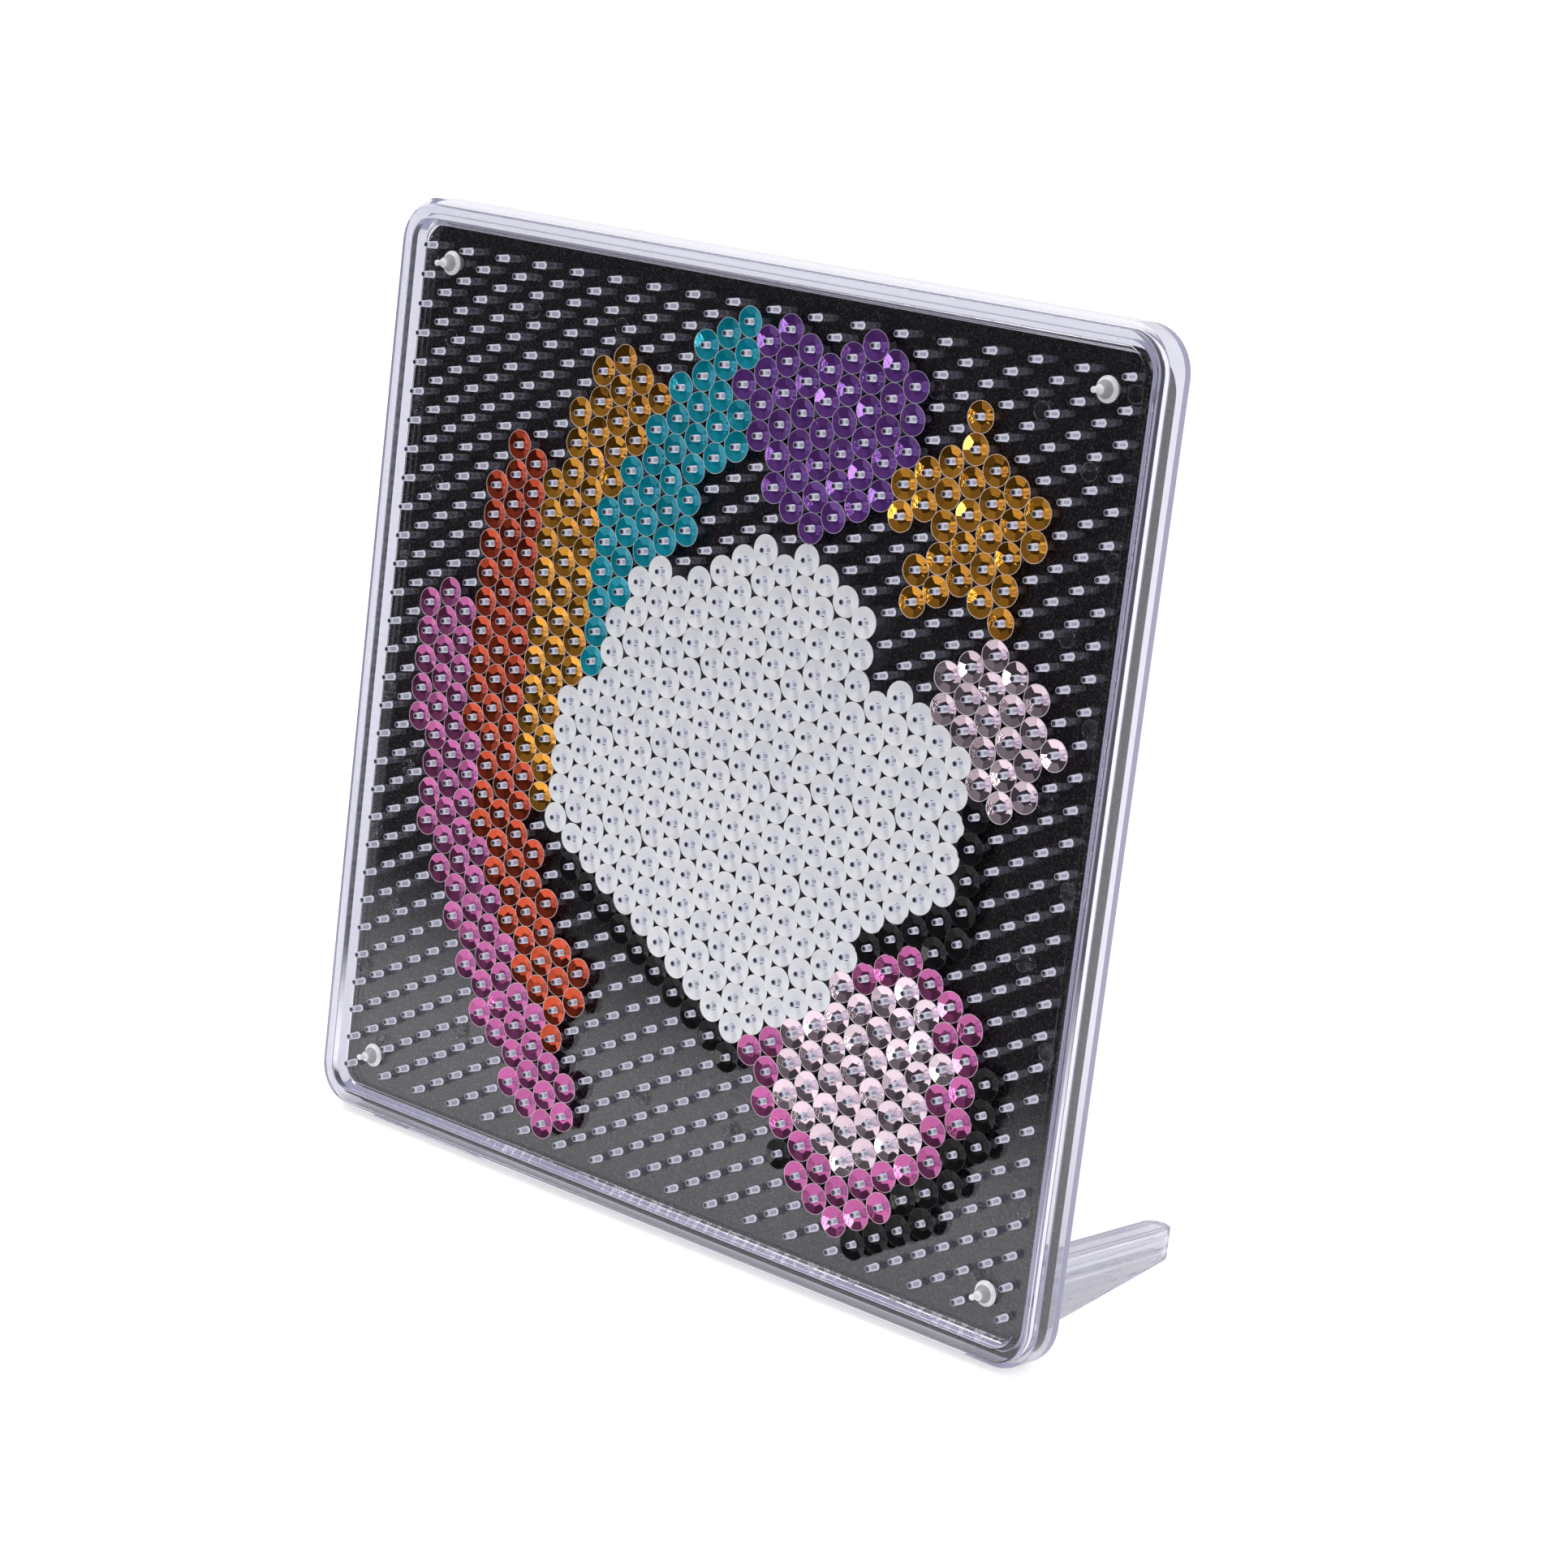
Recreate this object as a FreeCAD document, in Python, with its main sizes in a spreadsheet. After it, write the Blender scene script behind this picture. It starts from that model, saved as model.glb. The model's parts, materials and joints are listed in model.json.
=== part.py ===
import FreeCAD, Part
import math
import os

import Sketcher

# Sequin picture stand.
#
# A clear peg tray nests in a clear rear shell with a black card between them. Four push rivets
# hold the stack together at the corners, and two plug-in feet behind the shell lean the picture
# back. Cup sequins in eight colours are threaded on the pegs.
#
# Every sub-part is modelled in the board's own frame: X to the right, Y up along the board and
# Z out of its front, with the origin at the middle of the shell's back face. One placement then
# leans the board back on its feet, so that world Z is up and world -Y is the front.

DIMENSIONS = {
    # the board, leaning back on its feet
    "lean_angle": 10.15,  # degrees from upright
    "stand_shift": 22.86,  # moves the board so that the origin is the middle of the footprint
    # rear shell
    "shell_size": 190.0,
    "shell_corner": 9.0,
    "shell_depth": 6.8,
    "shell_wall": 1.1,
    "shell_floor": 1.5,
    "shell_edge": 0.8,  # rounding of the back's outer edge
    # card
    "card_width": 185.4,
    "card_height": 184.4,
    "card_corner": 8.0,
    "card_shift_x": 0.9,  # the outline is off the middle of its holes, towards lower right
    "card_shift_y": -1.5,
    "card_thickness": 0.4,
    "card_level": 2.7,  # height of the card's back
    "card_gap": 0.05,  # between the card and the posts behind it
    "card_rivet_hole": 3.6,
    "card_peephole": 1.2,
    "peephole_x": 39.0,
    "peephole_y": -85.8,
    # peg tray
    "tray_size": 187.6,
    "tray_corner": 7.8,
    "tray_underside": 4.1,
    "plate_thickness": 1.5,
    "rim_height": 3.0,
    "rim_opening": 182.0,  # across the recess at the rim's front
    "rim_opening_corner": 5.0,
    "rim_slope": 23.0,  # degrees that the recess's wall leans inwards
    "rim_edge": 0.5,
    "step_width": 1.9,  # of the step under the rim, which leaves the card's edge in view
    "step_height": 2.4,
    # pegs, on a triangular lattice with upright columns
    "peg_pitch": 5.9,
    "peg_columns": 35,
    "peg_rows": 30,
    "peg_root": 1.5,
    "peg_tip": 1.2,
    "peg_height": 3.0,
    # rivets
    "rivet_shank": 3.0,
    "rivet_bore": 3.06,
    "rivet_reach": 3.9,  # length of the shank below the head
    "rivet_head": 4.9,
    "rivet_rim": 0.6,  # thickness at the head's edge
    "rivet_boss": 2.2,
    "rivet_boss_level": 2.6,
    "rivet_nib": 1.2,
    "rivet_height": 4.7,
    "post_size": 6.0,  # posts behind the card, four of them around the rivets' shanks
    # feet and their sockets
    "foot_x": 80.0,
    "foot_width": 6.0,
    "foot_reach": 52.0,  # from the shell's back face to the foot's tip
    "foot_top": 15.4,  # above the board's lower edge
    "foot_wall": 1.3,
    "foot_web": 1.5,
    "foot_end": 2.9,  # radius of the foot's rounded end in plan
    "tongue_bottom": 3.0,
    "tongue_length": 4.9,
    "collar_height": 4.0,
    "collar_wall": 1.2,
    "collar_corner": 1.0,
    "socket_corner": 0.05,
    "socket_skin": 0.5,  # what is left of the shell's floor in front of a socket
    "push_fit": 0.03,  # clearance around a foot's tongue
    "channel_overshoot": 1.0,  # how far the channel's cut runs below the foot
    # sequins
    "sequin_size": 6.0,
    "sequin_hole": 1.62,
    "sequin_flat": 2.6,  # diameter of the flat middle
    "sequin_rise": 0.45,
    "sequin_thickness": 0.1,
    "sequin_level": 1.1,  # lowest sequins, above the plate
    "sequin_step": 0.16,  # neighbours lie at three levels, so that their rims can lap
}

doc = FreeCAD.newDocument("sequin_picture_stand")
dims = doc.addObject("Spreadsheet::Sheet", "dims")
for line, (name, value) in enumerate(DIMENSIONS.items(), start=1):
    dims.set(f"A{line}", name)
    dims.set(f"B{line}", str(value))
    dims.setAlias(f"B{line}", name)
doc.recompute()


# ---------------------------------------------------------------- building blocks


def stand(part):
    """Lean a sub-part back with the board and set it on the floor."""
    part.Placement.Rotation = FreeCAD.Rotation(FreeCAD.Vector(1, 0, 0), 90)
    part.setExpression("Placement.Rotation.Angle", "90 deg - dims.lean_angle * 1 deg")
    part.setExpression(
        "Placement.Base.y",
        "dims.shell_size / 2 * sin(dims.lean_angle * 1 deg) - dims.stand_shift",
    )
    part.setExpression(
        "Placement.Base.z",
        "dims.shell_size / 2 * cos(dims.lean_angle * 1 deg) - dims.shell_edge"
        " * (cos(dims.lean_angle * 1 deg) + sin(dims.lean_angle * 1 deg) - 1)",
    )


def new_body(name):
    body = doc.addObject("PartDesign::Body", name)
    body.Label = name
    return body


def new_sketch(body, name, plane="XY_Plane", **offsets):
    """A sketch on one of the body's origin planes, moved along the sketch's own axes."""
    sketch = body.newObject("Sketcher::SketchObject", name)
    datum = next(f for f in body.Origin.OriginFeatures if f.Role == plane)
    sketch.AttachmentSupport = [(datum, "")]
    sketch.MapMode = "FlatFace"
    for axis, expression in offsets.items():
        sketch.setExpression(f"AttachmentOffset.Base.{axis}", expression)
    return sketch


def bind(sketch, constraint, expression):
    """Add a dimension to a sketch and tie it to the sheet."""
    index = sketch.addConstraint(constraint)
    sketch.setExpression(f"Constraints[{index}]", expression)


def add_circle(sketch, x, y, diameter):
    """A circle whose centre and size are expressions."""
    circle = sketch.addGeometry(Part.Circle(FreeCAD.Vector(1, 1, 0), FreeCAD.Vector(0, 0, 1), 1))
    bind(sketch, Sketcher.Constraint("DistanceX", -1, 1, circle, 3, 1), x)
    bind(sketch, Sketcher.Constraint("DistanceY", -1, 1, circle, 3, 1), y)
    bind(sketch, Sketcher.Constraint("Diameter", circle, 2), diameter)


def add_rounded_rectangle(sketch, width, height, corner):
    """A rectangle with rounded corners about the sketch's origin."""
    half, radius = 50.0, 5.0
    flat = half - radius
    quarter = math.pi / 2
    sides, bends = [], []
    for turn in range(4):
        rotation = FreeCAD.Rotation(FreeCAD.Vector(0, 0, 1), 90 * turn)
        start = rotation.multVec(FreeCAD.Vector(-flat, -half, 0))
        end = rotation.multVec(FreeCAD.Vector(flat, -half, 0))
        centre = rotation.multVec(FreeCAD.Vector(flat, -flat, 0))
        circle = Part.Circle(centre, FreeCAD.Vector(0, 0, 1), radius)
        arc = Part.ArcOfCircle(circle, (turn - 1) * quarter, turn * quarter)
        sides.append(sketch.addGeometry(Part.LineSegment(start, end)))
        bends.append(sketch.addGeometry(arc))
    for turn in range(4):
        following = sides[(turn + 1) % 4]
        sketch.addConstraint(Sketcher.Constraint("Tangent", sides[turn], 2, bends[turn], 1))
        sketch.addConstraint(Sketcher.Constraint("Tangent", bends[turn], 2, following, 1))
        direction = "Horizontal" if turn % 2 == 0 else "Vertical"
        sketch.addConstraint(Sketcher.Constraint(direction, sides[turn]))
        if turn:
            sketch.addConstraint(Sketcher.Constraint("Equal", bends[0], bends[turn]))
    sketch.addConstraint(Sketcher.Constraint("Symmetric", sides[0], 1, sides[2], 1, -1, 1))
    bind(sketch, Sketcher.Constraint("Radius", bends[0], radius), corner)
    bind(sketch, Sketcher.Constraint("DistanceX", bends[3], 1, bends[0], 2, 2 * half), width)
    bind(sketch, Sketcher.Constraint("DistanceY", bends[0], 1, bends[1], 2, 2 * half), height)


def add_polygon(sketch, corners):
    """A closed outline through corners given as pairs of expressions, with rough start places."""
    count = len(corners)
    points = [FreeCAD.Vector(math.cos(k), math.sin(k), 0) for k in range(count)]
    lines = []
    for k in range(count):
        segment = Part.LineSegment(points[k], points[(k + 1) % count])
        lines.append(sketch.addGeometry(segment))
    for k in range(count):
        following = lines[(k + 1) % count]
        sketch.addConstraint(Sketcher.Constraint("Coincident", lines[k], 2, following, 1))
    for line, (x, y) in zip(lines, corners):
        bind(sketch, Sketcher.Constraint("DistanceX", -1, 1, line, 1, 1), x)
        bind(sketch, Sketcher.Constraint("DistanceY", -1, 1, line, 1, 1), y)


def add_feature(body, kind, name, sketch, length, **settings):
    """A pad or pocket of a sketch, with its length tied to the sheet."""
    feature = body.newObject(f"PartDesign::{kind}", name)
    feature.Profile = sketch
    feature.setExpression("Length", length)
    for key, value in settings.items():
        setattr(feature, key, value)
    before = feature.BaseFeature.Shape.Volume if feature.BaseFeature else 0
    doc.recompute()
    change = feature.Shape.Volume - before
    assert change > 0 if kind == "Pad" else change < 0, f"{name} changed the volume by {change}"
    return feature


def add_fillet(body, name, base, wanted, radius):
    """Round the edges of base that wanted picks."""
    edges = [f"Edge{n}" for n, edge in enumerate(base.Shape.Edges, start=1) if wanted(edge)]
    assert edges, f"{name} found no edge"
    fillet = body.newObject("PartDesign::Fillet", name)
    fillet.Base = (base, edges)
    fillet.setExpression("Radius", radius)
    doc.recompute()
    return fillet


def on_outline(edge, level, size):
    """Is the edge part of a square outline of this size at this level?"""
    box = edge.BoundBox
    flat = abs(box.ZMin - level) < 1e-4 and abs(box.ZMax - level) < 1e-4
    reach = max(abs(box.XMin), abs(box.XMax), abs(box.YMin), abs(box.YMax))
    return flat and abs(reach - size / 2) < 1e-3


# ---------------------------------------------------------------- the peg lattice


def column_x(column):
    return (column - (dims.peg_columns - 1) / 2) * dims.peg_pitch * math.sqrt(3) / 2


def row_y(column, row):
    """Odd columns hold one peg fewer and sit half a pitch higher."""
    return (row + (column % 2) / 2 - (dims.peg_rows - 1) / 2) * dims.peg_pitch


def rows_in(column):
    return int(dims.peg_rows) - column % 2


def is_rivet_place(column, row):
    """The rivets take the place of the end pegs of the second column from each side."""
    return column in (1, int(dims.peg_columns) - 2) and row in (0, rows_in(1) - 1)


def places():
    """Every lattice place as (column, row, x, y)."""
    for column in range(int(dims.peg_columns)):
        for row in range(rows_in(column)):
            yield column, row, column_x(column), row_y(column, row)


RIVET_X = "dims.peg_pitch * sqrt(3) / 2 * (dims.peg_columns - 3) / 2"
RIVET_Y = "dims.peg_pitch * (dims.peg_rows - 2) / 2"
CORNERS = {
    "top_left": ("-1", "1"),
    "top_right": ("1", "1"),
    "bottom_left": ("-1", "-1"),
    "bottom_right": ("1", "-1"),
}


def add_corner_circles(sketch, diameter):
    for side_x, side_y in CORNERS.values():
        add_circle(sketch, f"{side_x} * {RIVET_X}", f"{side_y} * {RIVET_Y}", diameter)


# ---------------------------------------------------------------- clear mouldings and card


def make_rear_shell():
    body = new_body("rear_shell")
    outline = new_sketch(body, "shell_outline")
    add_rounded_rectangle(outline, "dims.shell_size", "dims.shell_size", "dims.shell_corner")
    block = add_feature(body, "Pad", "shell_block", outline, "dims.shell_depth")

    def back_edge(edge):
        return on_outline(edge, 0, dims.shell_size)

    add_fillet(body, "shell_back_edge", block, back_edge, "dims.shell_edge")
    hollow = new_sketch(body, "shell_hollow", z="dims.shell_depth")
    inside = "dims.shell_size - 2 * dims.shell_wall"
    add_rounded_rectangle(hollow, inside, inside, "dims.shell_corner - dims.shell_wall")
    add_feature(body, "Pocket", "shell_recess", hollow, "dims.shell_depth - dims.shell_floor")

    posts = new_sketch(body, "shell_posts", z="dims.shell_floor")
    add_corner_circles(posts, "dims.post_size")
    for x, y in (("0", "0"), ("1", "0"), ("-1", "0"), ("0", "1"), ("0", "-1")):
        add_circle(posts, f"{x} * {RIVET_X} / 2", f"{y} * {RIVET_Y} / 2", "dims.post_size")
    post_height = "dims.card_level - dims.card_gap - dims.shell_floor"
    add_feature(body, "Pad", "card_posts", posts, post_height)
    bores = new_sketch(body, "rivet_bores", z="dims.card_level")
    add_corner_circles(bores, "dims.rivet_bore")
    add_feature(body, "Pocket", "rivet_sockets", bores, "dims.card_level - dims.shell_floor")

    tongue = "(dims.foot_top - dims.tongue_bottom)"
    middle = "(dims.foot_top + dims.tongue_bottom) / 2 - dims.shell_size / 2"
    place = {"x": "dims.foot_x", "y": middle, "z": "-dims.collar_height"}
    rim = new_sketch(body, "collar_outline", **place)
    around = "2 * (dims.collar_wall + dims.push_fit)"
    width, height = f"dims.foot_width + {around}", f"{tongue} + {around}"
    add_rounded_rectangle(rim, width, height, "dims.collar_corner")
    into_floor = "dims.collar_height + dims.shell_floor / 2"
    collar = add_feature(body, "Pad", "foot_collar", rim, into_floor)
    slot = new_sketch(body, "socket_outline", **place)
    gap = "2 * dims.push_fit"
    width, height = f"dims.foot_width + {gap}", f"{tongue} + {gap}"
    add_rounded_rectangle(slot, width, height, "dims.socket_corner")
    depth = "dims.collar_height + dims.shell_floor - dims.socket_skin"
    socket = add_feature(body, "Pocket", "foot_socket", slot, depth, Reversed=True)
    mirror = body.newObject("PartDesign::Mirrored", "other_socket")
    mirror.Originals = [collar, socket]
    side_plane = next(f for f in body.Origin.OriginFeatures if f.Role == "YZ_Plane")
    mirror.MirrorPlane = (side_plane, [""])
    body.Tip = mirror
    stand(body)
    return body


def make_backing_card():
    body = new_body("backing_card")
    place = {"x": "dims.card_shift_x", "y": "dims.card_shift_y", "z": "dims.card_level"}
    outline = new_sketch(body, "card_outline", **place)
    add_rounded_rectangle(outline, "dims.card_width", "dims.card_height", "dims.card_corner")
    add_feature(body, "Pad", "card_sheet", outline, "dims.card_thickness")
    openings = new_sketch(body, "card_openings", z="dims.card_level + dims.card_thickness")
    add_corner_circles(openings, "dims.card_rivet_hole")
    add_circle(openings, "dims.peephole_x", "dims.peephole_y", "dims.card_peephole")
    add_feature(body, "Pocket", "card_holes", openings, "dims.card_thickness")
    stand(body)
    return body


def make_tray_blank():
    """The tray's plate and rim, before its pegs."""
    body = new_body("tray_blank")
    outline = new_sketch(body, "tray_outline", z="dims.tray_underside")
    add_rounded_rectangle(outline, "dims.tray_size", "dims.tray_size", "dims.tray_corner")
    height = "dims.plate_thickness + dims.rim_height"
    block = add_feature(body, "Pad", "tray_block", outline, height)
    top = dims.tray_underside + dims.plate_thickness + dims.rim_height

    def front_edge(edge):
        return on_outline(edge, top, dims.tray_size)

    add_fillet(body, "tray_front_edge", block, front_edge, "dims.rim_edge")
    opening = new_sketch(body, "rim_opening", z=f"dims.tray_underside + {height}")
    corner = "dims.rim_opening_corner"
    add_rounded_rectangle(opening, "dims.rim_opening", "dims.rim_opening", corner)
    slope = {"TaperAngle": -dims.rim_slope}
    add_feature(body, "Pocket", "tray_recess", opening, "dims.rim_height", **slope)
    step = new_sketch(body, "rim_step", z="dims.tray_underside")
    around = "dims.tray_size + 2 * dims.step_width"
    add_rounded_rectangle(step, around, around, "dims.tray_corner + dims.step_width")
    inside = "dims.tray_size - 2 * dims.step_width"
    add_rounded_rectangle(step, inside, inside, "dims.tray_corner - dims.step_width")
    add_feature(body, "Pocket", "tray_step", step, "dims.step_height", Reversed=True)
    holes = new_sketch(body, "rivet_holes", z="dims.tray_underside")
    add_corner_circles(holes, "dims.rivet_bore")
    add_feature(body, "Pocket", "tray_holes", holes, "dims.plate_thickness", Reversed=True)
    return body


def make_peg_tray():
    """The tray as moulded, in one piece with its pegs."""
    blank = make_tray_blank().Tip.Shape
    level = dims.tray_underside + dims.plate_thickness
    root = 0.2  # how far a peg runs into the plate, so that the two share volume
    growth = (dims.peg_root - dims.peg_tip) / 2 / dims.peg_height
    peg = Part.makeCone(
        dims.peg_root / 2 + growth * root,
        dims.peg_tip / 2,
        dims.peg_height + root,
        FreeCAD.Vector(0, 0, level - root),
    )
    pegs = []
    for column, row, x, y in places():
        if not is_rivet_place(column, row):
            pegs.append(peg.translated(FreeCAD.Vector(x, y, 0)))
    tray = doc.addObject("Part::Feature", "peg_tray")
    tray.Label = "peg_tray"
    tray.Shape = blank.fuse(pegs)
    stand(tray)
    return tray


# ---------------------------------------------------------------- rivets and feet


def make_rivet(corner):
    """A push rivet: a shank through the stack, a dished head and the nib that its gate left."""
    name = f"rivet_{corner}"
    side_x, side_y = CORNERS[corner]
    body = new_body(name)
    seat = "(dims.tray_underside + dims.plate_thickness)"
    profile = new_sketch(
        body,
        f"{name}_profile",
        "XZ_Plane",
        x=f"{side_x} * {RIVET_X}",
        y=seat,
        z=f"-1 * {side_y} * {RIVET_Y}",
    )
    add_polygon(
        profile,
        [
            ("0 mm", "-dims.rivet_reach"),
            ("dims.rivet_shank / 2", "-dims.rivet_reach"),
            ("dims.rivet_shank / 2", "0 mm"),
            ("dims.rivet_head / 2", "0 mm"),
            ("dims.rivet_head / 2", "dims.rivet_rim"),
            ("dims.rivet_boss / 2", "dims.rivet_boss_level"),
            ("dims.rivet_nib / 2", "dims.rivet_boss_level"),
            ("dims.rivet_nib / 2", "dims.rivet_height"),
            ("0 mm", "dims.rivet_height"),
        ],
    )
    turned = body.newObject("PartDesign::Revolution", f"{name}_turned")
    turned.Profile = profile
    turned.ReferenceAxis = (profile, ["V_Axis"])
    turned.Angle = 360
    stand(body)
    return body


def make_foot(name, side):
    """A foot: a channel open below and level with the floor, with a tongue for its socket."""
    body = new_body(name)
    lower = "-dims.shell_size / 2"
    drop = "dims.shell_edge * (cos(dims.lean_angle * 1 deg) + sin(dims.lean_angle * 1 deg) - 1)"

    def floor_at(behind):
        """Height of the floor's plane in the board's frame, this far behind the back face."""
        run = f"({behind}) * tan(dims.lean_angle * 1 deg)"
        return f"{lower} + {run} + {drop} / cos(dims.lean_angle * 1 deg)"

    top = f"{lower} + dims.foot_top"
    side_view = new_sketch(body, f"{name}_side", "YZ_Plane", z=f"{side} * dims.foot_x")
    tongue_end = "dims.tongue_length - dims.collar_height"
    shoulder = "dims.collar_height + dims.push_fit"
    add_polygon(
        side_view,
        [
            (top, tongue_end),
            (f"{lower} + dims.tongue_bottom", tongue_end),
            (f"{lower} + dims.tongue_bottom", f"-({shoulder})"),
            (floor_at(shoulder), f"-({shoulder})"),
            (floor_at("dims.foot_reach"), "-dims.foot_reach"),
            (top, "-dims.foot_reach"),
        ],
    )
    bar = add_feature(body, "Pad", f"{name}_bar", side_view, "dims.foot_width", Midplane=True)

    def end_corner(edge):
        box = edge.BoundBox
        return abs(box.ZMin + dims.foot_reach) < 1e-4 and box.ZLength < 1e-4 and box.XLength < 1e-4

    add_fillet(body, f"{name}_rounded_end", bar, end_corner, "dims.foot_end")
    channel = new_sketch(body, f"{name}_channel", "YZ_Plane", z=f"{side} * dims.foot_x")
    ceiling = f"{top} - dims.foot_web"
    near = "dims.collar_height + dims.foot_wall"
    far = "dims.foot_reach - dims.foot_end"
    add_polygon(
        channel,
        [
            (ceiling, f"-({near})"),
            (f"{floor_at(near)} - dims.channel_overshoot", f"-({near})"),
            (f"{floor_at(far)} - dims.channel_overshoot", f"-({far})"),
            (ceiling, f"-({far})"),
        ],
    )
    inside = "dims.foot_width - 2 * dims.foot_wall"
    add_feature(body, "Pocket", f"{name}_hollow", channel, inside, Midplane=True)
    stand(body)
    return body


# ---------------------------------------------------------------- the picture


def in_circle(x, y, centre_x, centre_y, radius):
    return math.hypot(x - centre_x, y - centre_y) <= radius


def in_heart(x, y, centre_x, centre_y, size):
    """The heart curve (x^2 + y^2 - 1)^3 = x^2 y^3."""
    across, up = (x - centre_x) / size, (y - centre_y) / size
    return (across**2 + up**2 - 1) ** 3 <= across**2 * up**3


def in_star(x, y, centre_x, centre_y, radius):
    """A five-pointed star with one point up."""
    around = math.atan2(x - centre_x, y - centre_y) % (2 * math.pi / 5)
    from_point = min(around, 2 * math.pi / 5 - around)
    edge = radius * (1 - (1 - STAR_WAIST) * from_point / (math.pi / 5))
    return math.hypot(x - centre_x, y - centre_y) <= edge


# the picture's outlines, in pitches from the board's middle
CLOUD = (
    (-1.8, -1.4, 4.8),
    (2.4, 2.8, 4.6),
    (7.0, -0.2, 4.1),
    (2.4, -3.8, 4.8),
    (-1.4, 2.8, 3.2),
)
RAINBOW_CENTRE = (9.0, 3.0)
RAINBOW_INNER = 11.4
RAINBOW = (  # outer radius, then where the band starts and ends in degrees
    (14.8, 128, 190, "turquoise"),
    (17.4, 146, 203, "gold"),
    (20.0, 162, 225, "orange"),
    (22.6, 179, 232, "magenta"),
)
SMALL_CLOUD = (11.4, 3.2, 2.5)
VIOLET_HEART = (3.6, 10.4, 3.2)
PINK_HEART = (7.8, -9.3, 3.1)
HEART_EDGE = (7.8, -9.6, 4.3)
HEART_SHADOW = (8.4, -10.6, 4.3)
STAR = (9.6, 9.0, 3.8)
STAR_WAIST = 0.45  # radius between two points, as a share of the radius at them
CLOUD_SHADOW = (0.7, -1.3)  # how far the cloud's shadow is shifted


def in_cloud(x, y):
    return any(in_circle(x, y, *puff) for puff in CLOUD)


def rainbow_at(x, y):
    """The rainbow's colour at a place, or None: each band starts lower than the one inside it."""
    across, up = x - RAINBOW_CENTRE[0], y - RAINBOW_CENTRE[1]
    radius = math.hypot(across, up)
    angle = math.degrees(math.atan2(up, across)) % 360
    inner = RAINBOW_INNER
    for outer, start, end, colour in RAINBOW:
        if inner < radius <= outer and start < angle < end:
            return colour
        inner = outer
    return None


def colour_at(x, y):
    """The sequin's colour at a place given in pitches from the board's middle, or None.

    A rainbow sweeps down the left behind a white cloud. A violet heart, a gold star and a small
    pink cloud stand above it, and a pale pink heart with a magenta edge below it. Black sequins
    make the shadows.
    """
    if in_cloud(x, y):
        return "white"
    if in_heart(x, y, *PINK_HEART):
        return "pale_pink"
    if in_heart(x, y, *HEART_EDGE):
        return "magenta"
    under_cloud = y < 1 and in_cloud(x - CLOUD_SHADOW[0], y - CLOUD_SHADOW[1])
    if under_cloud or in_heart(x, y, *HEART_SHADOW):
        return "black"
    if in_star(x, y, *STAR):
        return "gold"
    if in_circle(x, y, *SMALL_CLOUD):
        return "pale_pink"
    if in_heart(x, y, *VIOLET_HEART):
        return "violet"
    return rainbow_at(x, y)


def make_sequin_pattern():
    """One sequin on the board's axis: a shallow cup with a flat middle."""
    body = new_body("sequin_pattern")
    profile = new_sketch(body, "sequin_profile", "XZ_Plane")
    hole, flat, rim = "dims.sequin_hole / 2", "dims.sequin_flat / 2", "dims.sequin_size / 2"
    add_polygon(
        profile,
        [
            (hole, "0 mm"),
            (flat, "0 mm"),
            (rim, "dims.sequin_rise"),
            (rim, "dims.sequin_rise + dims.sequin_thickness"),
            (flat, "dims.sequin_thickness"),
            (hole, "dims.sequin_thickness"),
        ],
    )
    turned = body.newObject("PartDesign::Revolution", "sequin_turned")
    turned.Profile = profile
    turned.ReferenceAxis = (profile, ["V_Axis"])
    turned.Angle = 360
    doc.recompute()
    return body


def make_sequins():
    """One sub-part for each colour, each a group of separate sequins."""
    pattern = make_sequin_pattern().Tip.Shape
    plate = dims.tray_underside + dims.plate_thickness
    groups = {}
    for column, row, x, y in places():
        colour = colour_at(x / dims.peg_pitch, y / dims.peg_pitch)
        if colour is None or is_rivet_place(column, row):
            continue
        level = (column + row + column // 2) % 3
        height = plate + dims.sequin_level + level * dims.sequin_step
        sequin = pattern.translated(FreeCAD.Vector(x, y, height))
        groups.setdefault(colour, []).append(sequin)
    made = []
    for colour, sequins in groups.items():
        group = doc.addObject("Part::Feature", f"sequins_{colour}")
        group.Label = f"sequins_{colour}"
        group.Shape = Part.makeCompound(sequins)
        stand(group)
        made.append(group)
    return made


# ---------------------------------------------------------------- build, check and export

sub_parts = [make_rear_shell(), make_backing_card(), make_peg_tray()]
sub_parts += [make_rivet(corner) for corner in CORNERS]
sub_parts += [make_foot("foot_left", -1), make_foot("foot_right", 1)]
sub_parts += make_sequins()
doc.recompute()

for item in doc.Objects:
    assert not {"Invalid", "Error"} & set(item.State), f"{item.Name}: {item.State}"
for part in sub_parts:
    assert not part.Shape.isNull() and part.Shape.isValid(), f"{part.Label} is not a valid shape"

os.makedirs("parts", exist_ok=True)
for part in sub_parts:
    part.Shape.exportStep(f"parts/{part.Label}.step")
    box = part.Shape.BoundBox
    print(
        f"{part.Label:22s} solids {len(part.Shape.Solids):4d}  volume {part.Shape.Volume:10.1f}"
        f"  x {box.XMin:.2f} {box.XMax:.2f}  y {box.YMin:.2f} {box.YMax:.2f}"
        f"  z {box.ZMin:.2f} {box.ZMax:.2f}"
    )
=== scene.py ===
import json
import math
import random

import bmesh
import bpy
import numpy as np
from mathutils import Matrix, Vector, geometry


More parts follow.
